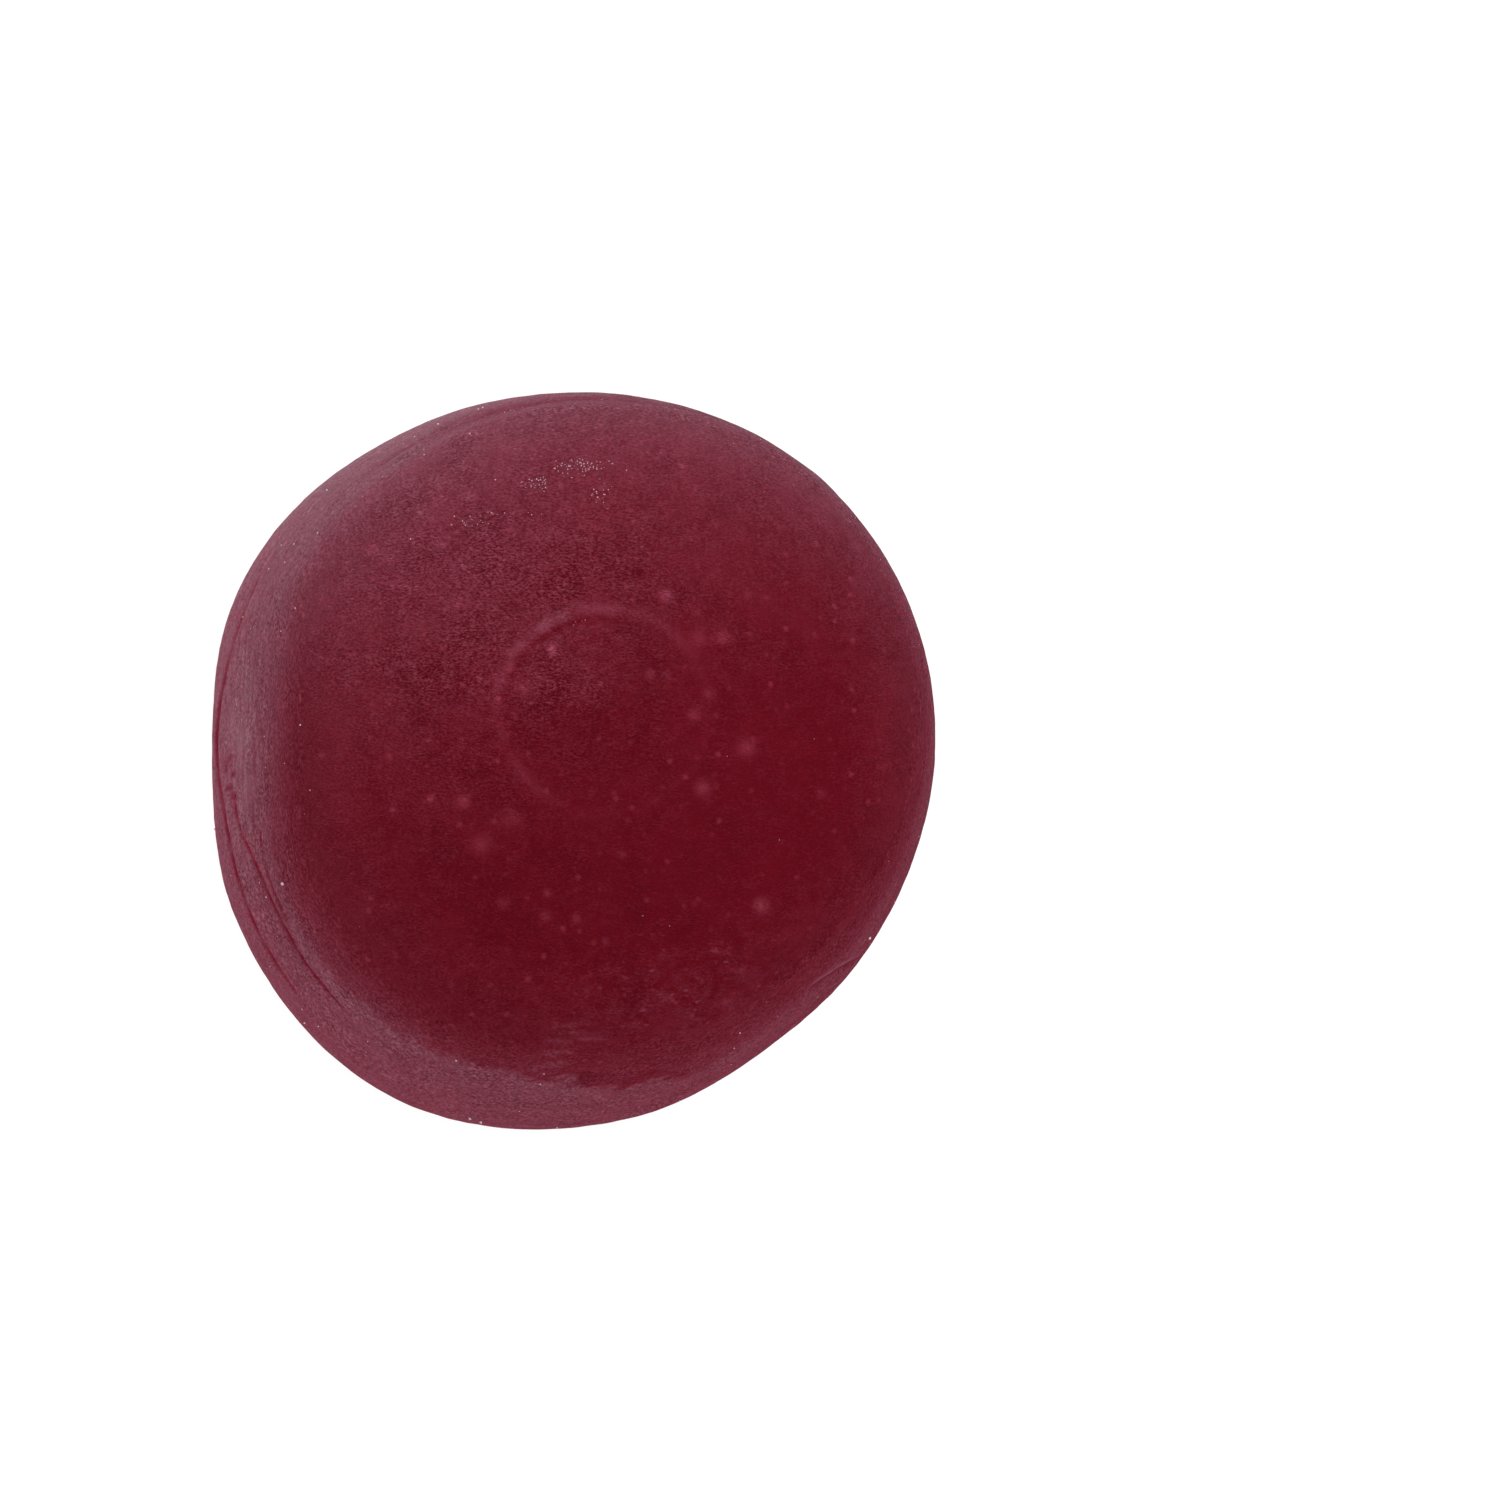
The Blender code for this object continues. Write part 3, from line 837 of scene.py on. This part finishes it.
fleck, pale_lot, dark_lot = scattered_dots(FLECK_CELLS, FLECK_REACH, FLECK_STRETCH)
pale = arithmetic("SUBTRACT", pale_lot, PALE_ABOVE, clamp=True)
dark = arithmetic("SUBTRACT", dark_lot, DARK_ABOVE, clamp=True)
fleck_bloom = arithmetic("MULTIPLY", pale, PALE_BLOOM)
fleck_bloom = arithmetic("MULTIPLY_ADD", dark, -DARK_BLOOM, fleck_bloom)
fleck = arithmetic("MULTIPLY", fleck, field("flecked"))
bloom_and_sheen_here = arithmetic("MULTIPLY_ADD", fleck_bloom, fleck, field("bloom_and_sheen"))
wispy = arithmetic("MULTIPLY_ADD", field("flecked"), WISP_AMONG_FLECKS, WISP_BLOOM)
bloom_and_sheen_here = arithmetic("MULTIPLY_ADD", about_zero(noise(*WISPS)), wispy, bloom_and_sheen_here)

# the colour follows the bloom and the painted sheen, which the grain thins and thickens
GRAIN_BLOOM = 0.70                  # how far the grain changes the bloom
GRAIN_STAIN = 0.06                  # and what it changes even on the clean skin

amount = arithmetic("MULTIPLY_ADD", field("bloom_and_sheen"), GRAIN_BLOOM, GRAIN_STAIN)
bloom_and_sheen_share = arithmetic("MULTIPLY_ADD", unevenness, amount, bloom_and_sheen_here, clamp=True)
ramp = nodes.new("ShaderNodeValToRGB")
stops = ramp.color_ramp.elements
stops.remove(stops[-1])
for share, *red_green_blue in BLOOM_AND_SHEEN_COLOURS:
    stop = stops.new(share) if share > 0.0 else stops[0]
    stop.color = (*red_green_blue, 1.0)
feed(ramp.inputs["Fac"], bloom_and_sheen_share)
colour = blend("RGBA", field("bubble"), ramp.outputs["Color"], BUBBLE_PINK, way="ADD")

# the creases' bottoms are clean and red
crease_share = 0.0
for number in range(len(RED_CREASES)):
    near = close_to(arithmetic("ABSOLUTE", field(f"fold_{number}")), 1.0)
    depth_here = field(f"fold_depth_{number}")
    crease_share = arithmetic("MULTIPLY_ADD", near, depth_here, crease_share, clamp=True)
colour = blend("RGBA", crease_share, colour, CREASE_RED)

# specks: faint small bubbles all through the gelatine, in cells whose lot is high
SPECK_CELLS = 2600.0
SPECK_REACH = 0.28
SPECK_ABOVE = 0.35

speck, speck_lot, _ = scattered_dots(SPECK_CELLS, SPECK_REACH)
luck = arithmetic("SUBTRACT", speck_lot, SPECK_ABOVE, clamp=True)
speck_share = arithmetic("MULTIPLY", speck, luck)
colour = blend("RGBA", speck_share, colour, BUBBLE_PINK, way="ADD")

# the grain, and broad faint clouds in the gelatine, also shade the skin
CLOUDS = (700.0, 2.0, 0.9)
CLOUD_SHADE = 0.24
GRAIN_SHADE = 0.33                  # how far the grain darkens and lightens clean skin
BLOOM_SHADE = 1.25                  # how much more it does so as the bloom grows,
BLOOM_SHADE_LIMIT = 0.25            # up to this share of the full bloom

clouds = arithmetic("MULTIPLY_ADD", noise(*CLOUDS), CLOUD_SHADE, 1.0 - 0.5 * CLOUD_SHADE)
shading = arithmetic("MINIMUM", field("bloom_and_sheen"), BLOOM_SHADE_LIMIT)
shading = arithmetic("MULTIPLY_ADD", shading, BLOOM_SHADE, GRAIN_SHADE)
shade = arithmetic("MULTIPLY_ADD", unevenness, shading, clouds)
# and the painted light and shade by place
shade = arithmetic("ADD", shade, field("painted_light_and_shade"))
shaded = nodes.new("ShaderNodeVectorMath")
shaded.operation = "SCALE"
feed(shaded.inputs[0], colour)
feed(shaded.inputs["Scale"], shade)

BUMP_STRENGTH = 0.8
BUMP_HEIGHT = 0.065 * MM

bump = nodes.new("ShaderNodeBump")
bump.inputs["Strength"].default_value = BUMP_STRENGTH
bump.inputs["Distance"].default_value = BUMP_HEIGHT
feed(bump.inputs["Height"], unevenness)
feed(shader.inputs["Base Color"], shaded.outputs[0])
feed(shader.inputs["Normal"], bump.outputs[0])
shader.inputs["Roughness"].default_value = SKIN_ROUGHNESS
shader.inputs["Specular IOR Level"].default_value = SKIN_GLOSS
shader.inputs["Subsurface Weight"].default_value = LIGHT_THROUGH
shader.inputs["Subsurface Radius"].default_value = LIGHT_REACH
shader.inputs["Subsurface Scale"].default_value = LIGHT_SCALE
candy_mesh.materials.append(gelatine)

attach(candy, "root")
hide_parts("gummy")

# ------------------------------------------------------------------ dust
# White grains of moulding starch and sugar that stick to the skin: a few chips that
# can be told apart, patches of fine ones on top, and a thin scatter all over.
CHIPS = (
    # place and size
    (-2.16, -8.33, 1.36, 0.085), (-2.53, -8.24, 1.51, 0.075), (-8.25, -1.67, 0.58, 0.060),
    (-7.16, -3.30, 5.69, 0.100), (-7.34, -3.46, 4.02, 0.045), (-7.51, -3.16, 3.88, 0.040),
    (-7.99, -2.80, 1.76, 0.035), (-7.07, -4.89, 1.81, 0.035), (-6.39, -5.79, 1.90, 0.040),
    (-6.20, -6.15, 1.41, 0.060), (-5.98, -6.23, 2.05, 0.045), (-5.05, -6.67, 3.73, 0.035),
    (-0.43, -8.42, 1.26, 0.045), (-3.24, -7.20, 5.74, 0.050), (-1.27, -7.51, 5.99, 0.045),
    (-1.19, -7.69, 5.15, 0.040), (6.60, -4.06, 2.30, 0.070), (3.33, -6.74, 3.92, 0.050),
    (3.32, -6.48, 5.20, 0.040), (0.63, -4.17, 9.20, 0.022), (1.16, -4.37, 9.10, 0.022),
    (2.36, -7.79, 1.21, 0.035), (-2.31, 7.91, 2.64, 0.060), (-2.45, 7.85, 2.80, 0.055),
    (-3.35, 7.48, 3.04, 0.060), (-3.92, 7.20, 3.14, 0.050), (-3.15, 6.75, 7.87, 0.040),
    (-4.16, 6.29, 7.74, 0.045), (-2.72, 5.57, 8.85, 0.040), (-4.60, 4.26, 8.86, 0.045),
    (-5.84, 6.00, 2.69, 0.050), (-6.44, 4.69, 6.14, 0.040), (-6.85, 4.54, 4.27, 0.045),
    (-7.01, 4.64, 2.99, 0.045), (-7.05, 4.17, 4.51, 0.040), (-7.29, 4.14, 3.14, 0.045),
    (-7.06, 2.82, 7.55, 0.040), (-7.25, 2.35, 6.58, 0.040), (-7.85, 3.06, 2.45, 0.050),
    (-8.24, 1.45, 0.82, 0.050), (-6.97, 0.08, 8.27, 0.045), (-6.83, -1.37, 8.44, 0.035),
)
PATCHES = (
    # middle and reach on the top, and how many fine grains
    ((-0.78, 5.93), (0.36, 0.11), 120), ((-1.74, 5.52), (0.16, 0.10), 50),
    ((-0.30, 5.18), (0.14, 0.12), 26), ((-3.35, 4.62), (0.24, 0.07), 20),
    ((-2.40, 4.75), (0.32, 0.07), 16),
)
PATCH_HEIGHT = 8.95
RING_GRAINS = 9                     # along the ring's clean edge
RING_GRAIN_RADIUS = 2.12
RING_GRAIN_TURN = (92.0, 118.0)
RING_GRAIN_HEIGHT = 9.6
LOOSE_GRAINS = 220
CLEAN_SHARE = 0.12                  # how readily they stick where there is no bloom and no painted sheen
FINE_SIZE = (0.004, 0.012)
PATCH_SIZE = (0.006, 0.018)
STRAY = 0.02                        # how far fine grains lie off the skin's grid points
STANDS = 0.45                       # how far its middle stands off the skin, in sizes
DUST_ROWS = slice(2, -20)           # neither the top's pole nor the underside
STARCH_WHITE = (0.62, 0.48, 0.53, 1.0)
STARCH_ROUGHNESS = 0.6

draw = np.random.default_rng(11)
skin = grid[DUST_ROWS].reshape(-1, 3)
skin_facing = facing[DUST_ROWS].reshape(-1, 3)
skin_bloom_and_sheen = bloom_and_sheen[DUST_ROWS].reshape(-1)
down_step = np.linalg.norm(np.gradient(grid, axis=0), axis=-1)
round_step = np.linalg.norm(np.roll(grid, -1, axis=1) - grid, axis=-1)
cell_area = (down_step * round_step)[DUST_ROWS].reshape(-1)


def nearest(points):
    """For each point, the number of the skin's grid point that is closest: the least
    square of the distance, without the point's own square, which is the same for all."""
    return np.argmin(np.sum(skin**2, axis=1) - 2.0 * points @ skin.T, axis=1)


chance = cell_area * (CLEAN_SHARE + skin_bloom_and_sheen / skin_bloom_and_sheen.mean())
loose = draw.choice(len(skin), LOOSE_GRAINS, replace=False, p=chance / chance.sum())
patch_places = np.concatenate([
    draw.normal(middle, reach, (count, 2)) for middle, reach, count in PATCHES
])
patch_places = np.column_stack([patch_places, np.full(len(patch_places), PATCH_HEIGHT)])
ring_turn = np.radians(draw.uniform(*RING_GRAIN_TURN, RING_GRAINS))
ring_places = np.column_stack([
    LEAN[0] + RING_GRAIN_RADIUS * np.cos(ring_turn),
    LEAN[1] + RING_GRAIN_RADIUS * np.sin(ring_turn),
    np.full(RING_GRAINS, RING_GRAIN_HEIGHT),
])
chips = np.array(CHIPS)
stuck = np.concatenate([chips[:, :3], patch_places, ring_places])
chosen = np.concatenate([nearest(stuck), loose])
sizes = np.concatenate([
    0.5 * chips[:, 3], draw.uniform(*PATCH_SIZE, len(patch_places)),
    draw.uniform(*FINE_SIZE, RING_GRAINS + LOOSE_GRAINS),
])
stray = draw.normal(0.0, STRAY, (len(chosen), 3))
stray[:len(chips)] = 0.0


def grain_mesh(name, places, normals, sizes):
    """Grains as eight-sided chips: six corners pushed out unevenly along the axes of
    a frame that is turned at random, each grain sunk a little into the skin."""
    corners = np.array([[1, 0, 0], [0, 1, 0], [-1, 0, 0], [0, -1, 0], [0, 0, 1], [0, 0, -1]])
    faces = np.array([[0, 1, 4], [1, 2, 4], [2, 3, 4], [3, 0, 4],
                      [1, 0, 5], [2, 1, 5], [3, 2, 5], [0, 3, 5]])
    count = len(places)
    frames = np.linalg.qr(draw.normal(size=(count, 3, 3)))[0]
    frames *= np.sign(np.linalg.det(frames))[:, None, None]
    reach = draw.uniform(0.6, 1.25, (count, 6, 1)) * sizes[:, None, None]
    points = (corners[None] * reach) @ frames.transpose(0, 2, 1)
    points += (places + STANDS * sizes[:, None] * normals)[:, None]
    numbered = faces[None] + 6 * np.arange(count)[:, None, None]
    mesh = bpy.data.meshes.new(name)
    mesh.from_pydata((points.reshape(-1, 3) * MM).tolist(), [], numbered.reshape(-1, 3).tolist())
    return mesh


dust_mesh = grain_mesh("dust", skin[chosen] + stray, skin_facing[chosen], sizes)
dust = bpy.data.objects.new("dust", dust_mesh)
bpy.context.scene.collection.objects.link(dust)
starch = bpy.data.materials.new("starch and sugar grains")
starch.use_nodes = True
starch_shader = starch.node_tree.nodes["Principled BSDF"]
starch_shader.inputs["Base Color"].default_value = STARCH_WHITE
starch_shader.inputs["Roughness"].default_value = STARCH_ROUGHNESS
dust_mesh.materials.append(starch)

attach(dust, "root")
